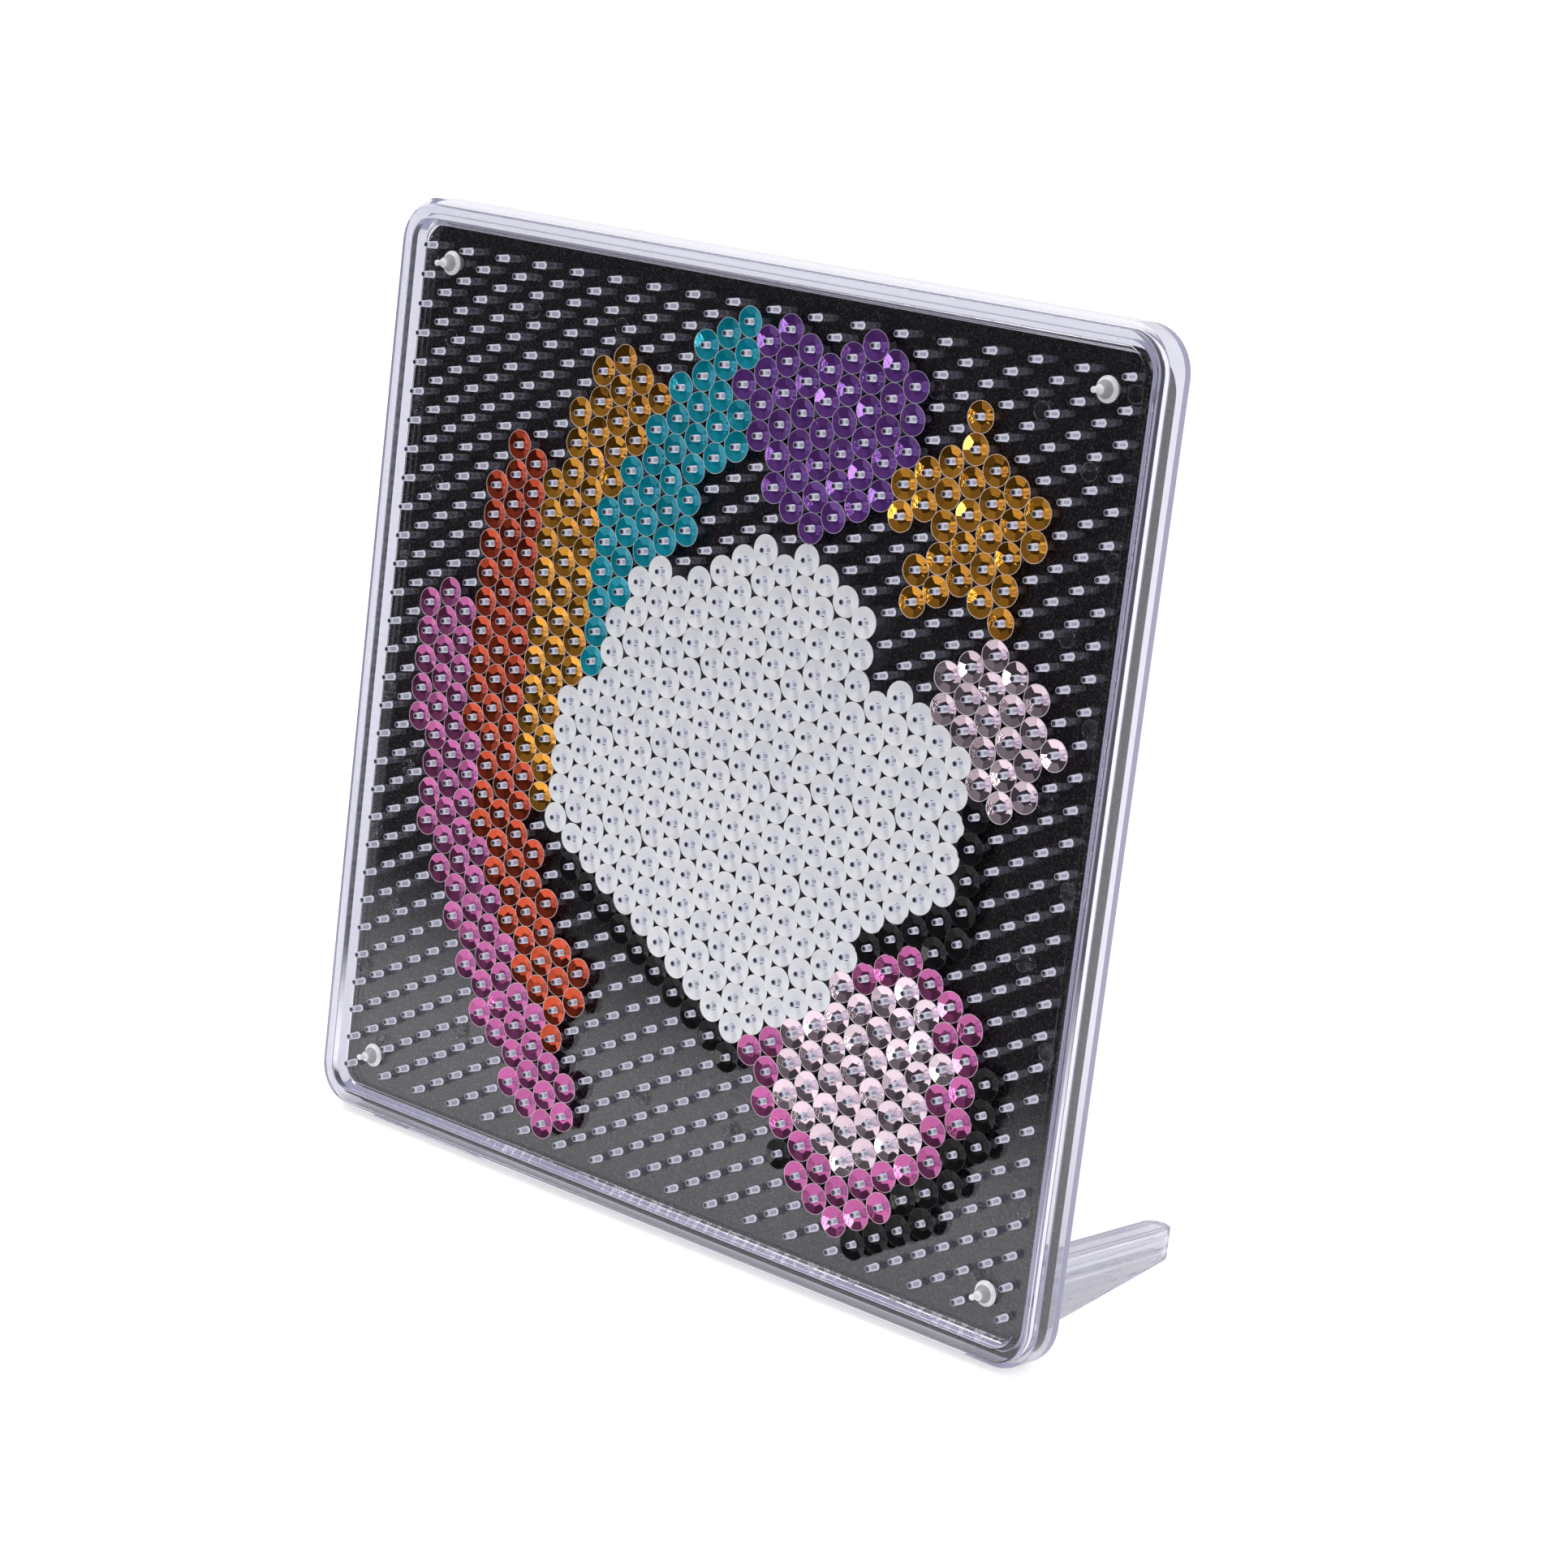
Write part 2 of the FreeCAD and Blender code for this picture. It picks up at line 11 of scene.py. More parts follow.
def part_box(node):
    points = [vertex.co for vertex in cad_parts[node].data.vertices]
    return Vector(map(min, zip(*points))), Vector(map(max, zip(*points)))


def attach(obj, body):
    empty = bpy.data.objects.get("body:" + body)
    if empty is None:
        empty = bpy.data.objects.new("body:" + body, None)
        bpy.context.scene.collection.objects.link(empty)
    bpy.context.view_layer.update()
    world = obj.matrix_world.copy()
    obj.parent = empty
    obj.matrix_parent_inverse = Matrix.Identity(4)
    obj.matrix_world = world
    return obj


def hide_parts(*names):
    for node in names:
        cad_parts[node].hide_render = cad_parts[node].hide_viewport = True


# Sequin picture stand: a clear peg tray and rear shell around a black card, four push rivets,
# two plug-in feet and cup sequins in eight colours.
#
# Pieces are modelled in millimetres in the board's own frame: X to the right, Y up along the
# board and Z out of its front, from the middle of the shell's back face. BOARD takes a point of
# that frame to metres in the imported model's frame.

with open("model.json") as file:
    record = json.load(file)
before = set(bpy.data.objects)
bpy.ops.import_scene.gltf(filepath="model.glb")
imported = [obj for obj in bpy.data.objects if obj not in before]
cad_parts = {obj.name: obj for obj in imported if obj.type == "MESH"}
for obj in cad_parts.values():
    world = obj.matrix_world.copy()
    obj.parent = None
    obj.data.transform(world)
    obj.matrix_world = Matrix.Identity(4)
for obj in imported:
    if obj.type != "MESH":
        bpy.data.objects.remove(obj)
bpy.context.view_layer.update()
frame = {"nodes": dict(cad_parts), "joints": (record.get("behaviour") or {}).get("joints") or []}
MM = 0.001


def width_of(node):
    low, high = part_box(node)
    return (high.x - low.x) / MM


def half_of(node):
    return width_of(node) / 2


# ---------------------------------------------------------------- sizes, in millimetres

SHELL_HALF = half_of("rear_shell")
SHELL_CORNER = 9.0
SHELL_DEPTH = 6.8
SHELL_WALL = 1.1
SHELL_FLOOR = 1.5
SHELL_EDGE = 0.8
POST_RADIUS = 3.0

CARD_HALF = half_of("backing_card")
CARD_HEIGHT = 184.4
CARD_CORNER = 8.0
CARD_SHIFT = (0.9, -1.5)  # of the outline against its holes
CARD_LEVEL = 2.7
CARD_THICKNESS = 0.4
CARD_GAP = 0.05  # between the card and its posts
CARD_RIVET_HOLE = 1.8
CARD_WARP = 0.7  # how far the card bows up inside its gap
PEEPHOLE = (39.0, -85.8, 0.6)

TRAY_HALF = half_of("peg_tray")
TRAY_CORNER = 7.8
TRAY_UNDERSIDE = 4.1
PLATE_LEVEL = 5.6
RIM_LEVEL = 8.6
RIM_INSET = 2.8  # from the tray's outside to the recess, at the rim's front
RIM_SLANT = math.radians(23)
RIM_EDGE = 0.5
INNER_EDGE = 0.3
STEP_WIDTH = 1.9  # of the step under the rim
STEP_HEIGHT = 2.4

PITCH = 5.9
COLUMNS = 35
ROWS = 30
COLUMN_STEP = PITCH * math.sqrt(3) / 2
PEG_ROOT = 0.75
PEG_TIP = 0.6
PEG_HEIGHT = 3.0
PEG_SIDES = 16
PEG_CORE = (0.8, 2.45)  # the stretch whose middle gets less painted glow and stays darker
CLEAR, GLOW_PAINTED, EDGE_GLOW_PAINTED = range(3)  # finishes of the tray: clear, painted glow all round, painted glow at the turned-away edges
MARK_RADIUS = 1.7  # of the ring marks that the mould's ejector pins leave
MARK_CLEARANCE = 0.4  # between a mark and the rim's foot

RIVET_BORE = 1.53
RIVET_SHANK = 1.5
RIVET_REACH = 3.9
RIVET_HEAD = 2.45
BOSS = (0.9, 2.6)  # the boss's start and end above the plate
RIVET_X = COLUMN_STEP * (COLUMNS - 3) / 2
RIVET_Y = PITCH * (ROWS - 2) / 2

FOOT_WIDTH = width_of("foot_right")
FOOT_REACH = 52.0
FOOT_TOP = 15.4
FOOT_WALL = 1.3
FOOT_WEB = 1.5
FOOT_END = 2.9
TONGUE_BOTTOM = 3.0
TONGUE_END = 0.9
SOCKET_END = 1.0
COLLAR_HEIGHT = 4.0
COLLAR_WALL = 1.2
COLLAR_CORNER = 1.0
SOCKET_CORNER = 0.05
PUSH_FIT = 0.03

SEQUIN_RADIUS = 3.0
SEQUIN_HOLE = 0.81
SEQUIN_FLAT = 1.3
SEQUIN_RISE = 0.45
SEQUIN_THICKNESS = 0.1
FOIL_FACETS = 6
SATIN_FACETS = 12  # enough to look round
MOST_TILT = 3.5  # degrees
FOIL_TILT = 1.9  # degrees, as a standard deviation
SATIN_TILT = 1.5
LOOSE = 0.08  # how far a sequin sits off its peg's axis
HIGHLIGHT_BAND = 0.12  # width of the band painted pale as a highlight at the film's edge
FILM_WALLS = (0, 0, 1, 1, 0, 0, 0)  # finish from each loop of a sequin to the next: 1 is its rim, painted pale as a highlight

SOFT_EDGE = 0.15  # the small rounding of moulded edges
SMOOTH_BELOW = math.radians(40)  # edges that turn further stay sharp

# ---------------------------------------------------------------- camera and light

CAMERA_AZIMUTH = 42.92  # degrees, as the other angles
CAMERA_ELEVATION = 18.87
CAMERA_DISTANCE = 0.7204  # metres
CAMERA_DOWN = 19.33  # how far it looks down
CAMERA_TURN = 41.60  # about the vertical
CAMERA_LENS = 86.83  # millimetres, over a sensor 36 wide

FLOOR_FADE = (-0.40, -0.12)  # y where the floor is dark and where it is pale, in metres
FLOOR_GLOW = 0.55  # as the camera sees it
FLOOR_MIRRORED = 0.28  # the same in reflections and through the clear plastic
FLOOR_REACH = 6.0  # metres
TENT_FADE = (-0.5, -0.15)  # y where the tent is dark and where it is bright, of a unit direction
TENT_LIGHT = (0.9, 0.9, 0.92)
ROOM_LIGHT = [  # in front: the height of a direction, and the light from there
    (0.0, (0.04, 0.04, 0.045)),
    (0.15, (0.07, 0.07, 0.075)),
    (0.5, (0.32, 0.32, 0.34)),
    (1.0, (0.5, 0.5, 0.52)),
]
WHITE = (1.0, 1.0, 1.0)
SOFTBOXES = [  # name, place, width and height in metres, power in watts
    ("key", (-0.9, -0.5, 1.9), 1.0, 1.0, 18),
    ("fill", (1.3, -0.6, 1.2), 0.9, 0.9, 7),
    ("strip", (-0.25, -1.6, 0.25), 0.07, 0.5, 1.0),
]
AIM = (0, 0, 0.1)  # the point that they face

# ---------------------------------------------------------------- looks

CLEAR_TINT = (0.84, 0.84, 0.89, 1)
# painted glow: the colour clear plastic gives off after several reflections, in place of light
# carried through it
PAINTED_GUIDED_GLOW = (0.36, 0.35, 0.48)
MANY_BOUNCES = 2.5  # reflections after which a path shows the painted guided glow
# painted glow on the pegs, in place of the bright light seen in their sides
PEG_PAINTED_GLOW = (0.66, 0.66, 0.80)
PEG_GLOW_SHARE = 0.85
PEG_CORE_GLOW_SHARE = 0.5  # the share of the painted glow in the middle of a peg
TURNED_AWAY = (0.34, 0.48)  # from here to here a peg's side gets its full painted glow
WHITE_FILM = (0.93, 0.945, 1.0)
EDGE_HIGHLIGHT = 0.45  # how far the painted highlight on a film's edge is on the way to white

# The grain of each surface: how many waves there are in a metre, and how deep they are in metres.
MOULD_WAVES = (60.0, 0.00001)
FOOT_RIBS = (650.0, 0.0004)
CARD_GRAIN = (2600.0, 0.00002)
MILKY_CLOUDS = (900.0, 0.00004)
FOIL_WAVES = (1500.0, 0.00001)
SATIN_WAVES = (1200.0, 0.00001)
RIB_STRETCH = 60.0  # how much longer the feet's ribs are than wide

FOILS = {  # colour: base colour, metallic and coat
    "gold": ((0.80, 0.35, 0.04), 1.0, 0.1),
    "orange": ((0.56, 0.075, 0.03), 0.95, 0.1),
    "turquoise": ((0.0, 0.32, 0.42), 0.4, 0.1),
    "violet": ((0.15, 0.045, 0.28), 0.5, 0.1),
    "magenta": ((0.50, 0.115, 0.32), 0.9, 0.1),
    "pale_pink": ((0.80, 0.63, 0.71), 1.0, 0.0),
    "black": ((0.006, 0.005, 0.006), 0.0, 0.0),
}

# ---------------------------------------------------------------- the board's frame

lift = next(joint for joint in frame["joints"] if joint["name"] == "tray_lift")
NORMAL = Vector(lift["axis"]).normalized()
LEAN = math.atan2(NORMAL.z, -NORMAL.y)
UPRIGHT = Matrix.Rotation(math.pi / 2 - LEAN, 4, "X") @ Matrix.Scale(MM, 4)
card_low, card_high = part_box("backing_card")
card_middle = UPRIGHT @ Vector((*CARD_SHIFT, CARD_LEVEL + CARD_THICKNESS / 2))
BOARD = Matrix.Translation((card_low + card_high) / 2 - card_middle) @ UPRIGHT
TO_BOARD = BOARD.inverted()


def column_x(column):
    return (column - (COLUMNS - 1) / 2) * COLUMN_STEP


def row_y(column, row):
    """Odd columns hold one peg fewer and sit half a pitch higher."""
    return (row + column % 2 / 2 - (ROWS - 1) / 2) * PITCH


def peg_places():
    """Every peg as (x, y). The rivets take the end places of the second column from each side."""
    for column in range(COLUMNS):
        rows = ROWS - column % 2
        for row in range(rows):
            if column in (1, COLUMNS - 2) and row in (0, rows - 1):
                continue
            yield column_x(column), row_y(column, row)


# ---------------------------------------------------------------- mesh building


def rounded_rectangle(half_x, half_y, radius, z, centre=(0, 0), steps=12):
    """Points around a rectangle with rounded corners."""
    points = []
    for turn, (side_x, side_y) in enumerate(((1, -1), (1, 1), (-1, 1), (-1, -1))):
        middle_x = centre[0] + side_x * (half_x - radius)
        middle_y = centre[1] + side_y * (half_y - radius)
        for step in range(steps + 1):
            angle = (turn - 1 + step / steps) * math.pi / 2
            x, y = radius * math.cos(angle), radius * math.sin(angle)
            points.append(Vector((middle_x + x, middle_y + y, z)))
    return points


def circle(x, y, radius, z, sides):
    """Points around a circle."""
    points = []
    for side in range(sides):
        angle = side / sides * 2 * math.pi
        across, up = radius * math.cos(angle), radius * math.sin(angle)
        points.append(Vector((x + across, y + up, z)))
    return points


def bend(middle_a, middle_b, radius, start, end, steps=4):
    """(a, b) pairs along an arc about (middle_a, middle_b), with angles in degrees."""
    for step in range(steps + 1):
        angle = math.radians(start + (end - start) * step / steps)
        yield middle_a + radius * math.cos(angle), middle_b + radius * math.sin(angle)


class Moulding:
    """A closed surface built from loops of points, the walls between them and flat sheets."""

    def __init__(self):
        self.points = []
        self.faces = []
        self.finishes = []  # the number of each face's material

    def loop(self, points):
        start = len(self.points)
        self.points += points
        return list(range(start, len(self.points)))

    def face(self, corners, finish=0):
        self.faces.append(tuple(corners))
        self.finishes.append(finish)

    def wall(self, first, second, finish=0):
        for k in range(len(first)):
            n = (k + 1) % len(first)
            self.face((first[k], first[n], second[n], second[k]), finish)

    def loft(self, outlines):
        """Walls through outlines given as lists of points; returns the first and last loops."""
        loops = [self.loop(outline) for outline in outlines]
        for first, second in zip(loops, loops[1:]):
            self.wall(first, second)
        return loops[0], loops[-1]

    def sheet(self, outline, holes=(), inner_points=()):
        """Triangles between an outline and the holes in it, seen along Z."""
        members, edges = [], []
        for loop in (outline, *holes):
            start = len(members)
            members += loop
            count = len(loop)
            edges += [(start + k, start + (k + 1) % count) for k in range(count)]
        members += inner_points
        flat = [self.points[index].xy for index in members]
        inside_with_holes = 2
        merged_below = 1e-7
        cut = geometry.delaunay_2d_cdt(flat, edges, [], inside_with_holes, merged_below, True)
        triangles, sources = cut[2], cut[3]
        for triangle in triangles:
            self.face(members[sources[corner][0]] for corner in triangle)

    def piece(self, name, body, slot, materials, flat=False):
        """The finished object, riding on its body."""
        mesh = bpy.data.meshes.new(name)
        mesh.from_pydata([BOARD @ point for point in self.points], [], self.faces)
        mesh.polygons.foreach_set("material_index", self.finishes)
        work = bmesh.new()
        work.from_mesh(mesh)
        bmesh.ops.recalc_face_normals(work, faces=work.faces)
        work.to_mesh(mesh)
        work.free()
        return finish_piece(mesh, name, body, materials, flat)


def finish_piece(mesh, name, body, materials, flat=False):
    """Shading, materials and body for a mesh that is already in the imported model's frame."""
    for material in materials:
        mesh.materials.append(material)
    mesh.polygons.foreach_set("use_smooth", [not flat] * len(mesh.polygons))
    piece = bpy.data.objects.new(name, mesh)
    bpy.context.scene.collection.objects.link(piece)
    if not flat:
        mesh.set_sharp_from_angle(angle=SMOOTH_BELOW)
        weighted = piece.modifiers.new("even_shading", "WEIGHTED_NORMAL")
        weighted.keep_sharp = True
    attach(piece, body)
    return piece


# ---------------------------------------------------------------- materials


def node_material(name, **inputs):
    """A Principled material; inputs are set by their names with spaces as underscores."""
    material = bpy.data.materials.new(name)
    material.use_nodes = True
    shader = material.node_tree.nodes["Principled BSDF"]
    for key, value in inputs.items():
        shader.inputs[key.replace("_", " ")].default_value = value
    return material, material.node_tree, shader


def add_noise(tree, scale, detail=4.0):
    """Noise in metres, so that its grain keeps its real size."""
    place = tree.nodes.new("ShaderNodeTexCoord")
    noise = tree.nodes.new("ShaderNodeTexNoise")
    noise.inputs["Scale"].default_value = scale
    noise.inputs["Detail"].default_value = detail
    tree.links.new(place.outputs["Object"], noise.inputs["Vector"])
    return noise.outputs["Fac"]


def add_bump(tree, shader, height, distance):
    bump = tree.nodes.new("ShaderNodeBump")
    bump.inputs["Strength"].default_value = 1.0
    bump.inputs["Distance"].default_value = distance
    tree.links.new(height, bump.inputs["Height"])
    tree.links.new(bump.outputs["Normal"], shader.inputs["Normal"])


def add_ramp(tree, source, stops):
    """A colour ramp through (position, colour) stops."""
    ramp = tree.nodes.new("ShaderNodeValToRGB")
    elements = ramp.color_ramp.elements
    while len(elements) < len(stops):
        elements.new(0.5)
    for element, (position, colour) in zip(elements, stops):
        element.position = position
        element.color = (*colour, 1)
    tree.links.new(source, ramp.inputs["Fac"])
    return ramp.outputs["Color"]


def add_ribs(tree, scale):
    """Uneven ribs along the feet, which stand out square to the board's back."""
    place = tree.nodes.new("ShaderNodeTexCoord")
    along = tree.nodes.new("ShaderNodeMapping")
    along.vector_type = "TEXTURE"
    along.inputs["Rotation"].default_value = (-LEAN, 0, 0)
    along.inputs["Scale"].default_value = (1, RIB_STRETCH, 1)
    noise = tree.nodes.new("ShaderNodeTexNoise")
    noise.inputs["Scale"].default_value = scale
    noise.inputs["Detail"].default_value = 1.0
    tree.links.new(place.outputs["Object"], along.inputs["Vector"])
    tree.links.new(along.outputs["Vector"], noise.inputs["Vector"])
    return noise.outputs["Fac"]


def clear_plastic(name, glow_part=None, ribbed=False):
    """Clear polystyrene: slightly lilac, with the faint waves of a moulded surface or with ribs.

    A painted glow stands in for light that the plastic carries along: it shows after several
    reflections, and at a peg also where the second argument says: a number, or "edges" for the
    parts of the surface that turn away from the viewer.
    """
    material, tree, shader = node_material(
        name, Base_Color=CLEAR_TINT, Roughness=0.01, IOR=1.55, Transmission_Weight=1.0
    )
    if ribbed:
        scale, depth = FOOT_RIBS
        add_bump(tree, shader, add_ribs(tree, scale), depth)
    else:
        scale, depth = MOULD_WAVES
        add_bump(tree, shader, add_noise(tree, scale, detail=1.0), depth)
    surface = shader.outputs["BSDF"]
    # painted glow after several reflections, in place of light guided through the plastic
    path = tree.nodes.new("ShaderNodeLightPath")
    often = add_math(tree, "GREATER_THAN", path.outputs["Glossy Depth"], MANY_BOUNCES)
    surface = add_painted_glow(tree, surface, often, PAINTED_GUIDED_GLOW)
    if glow_part is not None:
        place = tree.nodes.new("ShaderNodeNewGeometry")
        outside = add_math(tree, "SUBTRACT", 1.0, place.outputs["Backfacing"])
        if glow_part == "edges":
            turned = tree.nodes.new("ShaderNodeLayerWeight")
            glow_part = add_rise(tree, turned.outputs["Facing"], *TURNED_AWAY, PEG_CORE_GLOW_SHARE)
        share = add_math(tree, "MULTIPLY", add_math(tree, "MULTIPLY", outside, glow_part), PEG_GLOW_SHARE)
        surface = add_painted_glow(tree, surface, share, PEG_PAINTED_GLOW)
    tree.links.new(surface, tree.nodes["Material Output"].inputs["Surface"])
    material.cycles.emission_sampling = "NONE"
    return material


def add_painted_glow(tree, surface, share, colour):
    """A painted glow: a surface that gives off light over a share of it."""
    glow = tree.nodes.new("ShaderNodeEmission")
    glow.inputs["Color"].default_value = (*colour, 1)
    mix = tree.nodes.new("ShaderNodeMixShader")
    for socket, value in zip(mix.inputs, (share, surface, glow.outputs["Emission"])):
        tree.links.new(value, socket)
    return mix.outputs["Shader"]


def add_rise(tree, source, start, end, least=0.0):
    """A smooth rise to 1 between two values of source, from 0 or from least."""
    rise = tree.nodes.new("ShaderNodeMapRange")
    rise.interpolation_type = "SMOOTHSTEP"
    rise.inputs["From Min"].default_value = start
    rise.inputs["From Max"].default_value = end
    rise.inputs["To Min"].default_value = least
    tree.links.new(source, rise.inputs["Value"])
    return rise.outputs["Result"]


def add_math(tree, operation, first, second):
    """A math node; each of its inputs is a number or a socket."""
    node = tree.nodes.new("ShaderNodeMath")
    node.operation = operation
    for socket, value in zip(node.inputs, (first, second)):
        if isinstance(value, float):
            socket.default_value = value
        else:
            tree.links.new(value, socket)
    return node.outputs["Value"]


def card_material():
    """Black uncoated card with a fine brownish grain."""
    material, tree, shader = node_material("black_card", Roughness=0.8, Specular_IOR_Level=0.2)
    scale, depth = CARD_GRAIN
    grain = add_noise(tree, scale, detail=3.0)
    stops = [
        (0.32, (0.008, 0.007, 0.008)),
        (0.52, (0.030, 0.024, 0.026)),
        (0.65, (0.15, 0.12, 0.12)),
    ]
    tree.links.new(add_ramp(tree, grain, stops), shader.inputs["Base Color"])
    add_bump(tree, shader, grain, depth)
    return material


def milky_plastic(name, clearness):
    """Stressed polystyrene, from milky at clearness 0 to clear at 1."""
    material, tree, shader = node_material(
        name,
        Base_Color=(0.92, 0.92, 0.96, 1),
        Roughness=0.2,
        IOR=1.5,
        Transmission_Weight=clearness,
    )
    scale, depth = MILKY_CLOUDS
    clouds = add_noise(tree, scale)
    stops = [(0.35, (0.92, 0.92, 0.96)), (0.65, (1.0, 1.0, 1.0))]
    tree.links.new(add_ramp(tree, clouds, stops), shader.inputs["Base Color"])
    add_bump(tree, shader, clouds, depth)
    return material


def add_tone(tree, shader, colour, spread):
    """A small difference in tone from one sequin to the next."""
    island = tree.nodes.new("ShaderNodeNewGeometry")
    dark = [channel * (1 - spread) for channel in colour]
    light = [min(1.0, channel * (1 + spread)) for channel in colour]
    tone = add_ramp(tree, island.outputs["Random Per Island"], [(0.0, dark), (1.0, light)])
    tree.links.new(tone, shader.inputs["Base Color"])


def foil_material(name, colour, metallic, coat):
    """Glossy tinted film; a metallic one mirrors more than a plain one."""
    mirroring = 0.5 if metallic else 0.15
    material, tree, shader = node_material(
        name,
        Metallic=metallic,
        Roughness=0.08,
        IOR=1.5,
        Specular_IOR_Level=mirroring,
        Coat_Weight=coat,
        Coat_Roughness=0.04,
    )
    add_tone(tree, shader, colour, spread=0.12)
    scale, depth = FOIL_WAVES
    add_bump(tree, shader, add_noise(tree, scale, detail=2.0), depth)
    return material


def edge_highlight_material(name, colour):
    """A painted highlight on the edge of a film: paler than its face unless the film is black."""
    share = EDGE_HIGHLIGHT * min(1.0, 3 * max(colour))
    pale = [channel + (1 - channel) * share for channel in colour]
    material, tree, shader = node_material(name, Roughness=0.3, Metallic=0.2)
    add_tone(tree, shader, pale, spread=0.05)
    return material


def satin_material(name, colour):
    """White film that lets some light through."""
    material, tree, shader = node_material(
        name,
        Roughness=0.35,
        IOR=1.5,
        Subsurface_Weight=0.2,
        Subsurface_Scale=0.0003,
        Subsurface_Radius=(1.0, 1.0, 1.2),
    )
    add_tone(tree, shader, colour, spread=0.03)
    scale, depth = SATIN_WAVES
    add_bump(tree, shader, add_noise(tree, scale, detail=2.0), depth)
    return material


# ---------------------------------------------------------------- clear mouldings and card


def tray_ring(inset, z):
    half = TRAY_HALF - inset
    return rounded_rectangle(half, half, TRAY_CORNER - inset, z)


def shell_ring(inset, z):
    half = SHELL_HALF - inset
    return rounded_rectangle(half, half, SHELL_CORNER - inset, z)


def corner_places():
    for side_x in (-1, 1):
        for side_y in (-1, 1):
            yield side_x * RIVET_X, side_y * RIVET_Y


def mould_marks():
    """Places of the ejector pins' ring marks: zigzags along both sides, rows at top and bottom.

    Along a side every fifth row has a mark, and along the top and the bottom every tenth column.
    """
    third = COLUMN_STEP / 3
    wall_foot = RIM_INSET + (RIM_LEVEL - PLATE_LEVEL) * math.tan(RIM_SLANT)
    outermost = TRAY_HALF - wall_foot - MARK_RADIUS - MARK_CLEARANCE
    for row in range(1, ROWS - 1, 5):
        yield column_x(1) + third, row_y(0, row)
        yield column_x(COLUMNS - 2) - third, row_y(0, row)
    for row in range(3, ROWS, 5):
        yield -outermost, row_y(1, row)
        yield outermost, row_y(1, row)
    for column in range(6, COLUMNS, 10):
        yield column_x(column) - third, row_y(1, ROWS - 3)
        yield column_x(column) - third, row_y(1, 2)
    for column in range(10, COLUMNS, 10):
        yield column_x(column) + third, row_y(1, ROWS - 3)
        yield column_x(column) + third, row_y(1, 2)


def peg_radius(z):
    return PEG_ROOT - (PEG_ROOT - PEG_TIP) * z / PEG_HEIGHT


def build_tray(materials):
    """One moulding: the rim around the recess, the plate and its pegs."""
    tray = Moulding()

    def slope(z):
        return RIM_INSET + (RIM_LEVEL - z) * math.tan(RIM_SLANT)

    step = TRAY_UNDERSIDE + STEP_HEIGHT
    section = [(STEP_WIDTH + SOFT_EDGE, TRAY_UNDERSIDE)]
    section += [(STEP_WIDTH, TRAY_UNDERSIDE + SOFT_EDGE), (STEP_WIDTH, step)]
    section += [(SOFT_EDGE, step), (0, step + SOFT_EDGE)]
    section += bend(RIM_EDGE, RIM_LEVEL - RIM_EDGE, RIM_EDGE, 180, 90)
    middle = slope(RIM_LEVEL - INNER_EDGE) - INNER_EDGE / math.cos(RIM_SLANT)
    section += bend(middle, RIM_LEVEL - INNER_EDGE, INNER_EDGE, 90, math.degrees(RIM_SLANT))
    section += [(slope(PLATE_LEVEL + SOFT_EDGE), PLATE_LEVEL + SOFT_EDGE)]
    sag = 0.04  # of the hollow rounding at the slope's foot
    section += [(slope(PLATE_LEVEL) + sag, PLATE_LEVEL + sag)]
    section += [(slope(PLATE_LEVEL) + SOFT_EDGE, PLATE_LEVEL)]
    underside, floor = tray.loft([tray_ring(inset, z) for inset, z in section])

    openings, bores = [], []
    for x, y in corner_places():
        levels = (PLATE_LEVEL, TRAY_UNDERSIDE)
        upper, lower = tray.loft([circle(x, y, RIVET_BORE, z, 24) for z in levels])
        openings.append(upper)
        bores.append(lower)

    fillet, fillet_steps = 0.25, 3
    round_tip, tip_steps = 0.2, 4
    peg = list(bend(PEG_ROOT + fillet, fillet, fillet, 270, 180, fillet_steps))
    peg += [(peg_radius(z), z) for z in PEG_CORE]
    peg += bend(PEG_TIP - round_tip, PEG_HEIGHT - round_tip, round_tip, 0, 80, tip_steps)
    # painted glow: none on the fillet, all round beside the core, at the turned-away edges over the
    # core and the tip
    finishes = [CLEAR] * fillet_steps + [GLOW_PAINTED, EDGE_GLOW_PAINTED, GLOW_PAINTED] + [EDGE_GLOW_PAINTED] * tip_steps
    for x, y in peg_places():
        loops = [tray.loop(circle(x, y, radius, PLATE_LEVEL + z, PEG_SIDES)) for radius, z in peg]
        for first, second, finish in zip(loops, loops[1:], finishes):
            tray.wall(first, second, finish)
        openings.append(loops[0])
        tray.face(loops[-1])

    mark_width, mark_height = 0.1, 0.12
    for x, y in mould_marks():
        ridge = [(MARK_RADIUS + mark_width, 0), (MARK_RADIUS, mark_height)]
        ridge += [(MARK_RADIUS - mark_width, 0)]
        outlines = [circle(x, y, radius, PLATE_LEVEL + z, 32) for radius, z in ridge]
        outer, inner = tray.loft(outlines)
        openings.append(outer)
        tray.face(inner)

    tray.sheet(floor, openings)
    tray.sheet(underside, bores)
    piece = tray.piece("peg_tray_moulding", "peg_tray", "clear_tray", materials)
    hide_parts("peg_tray")


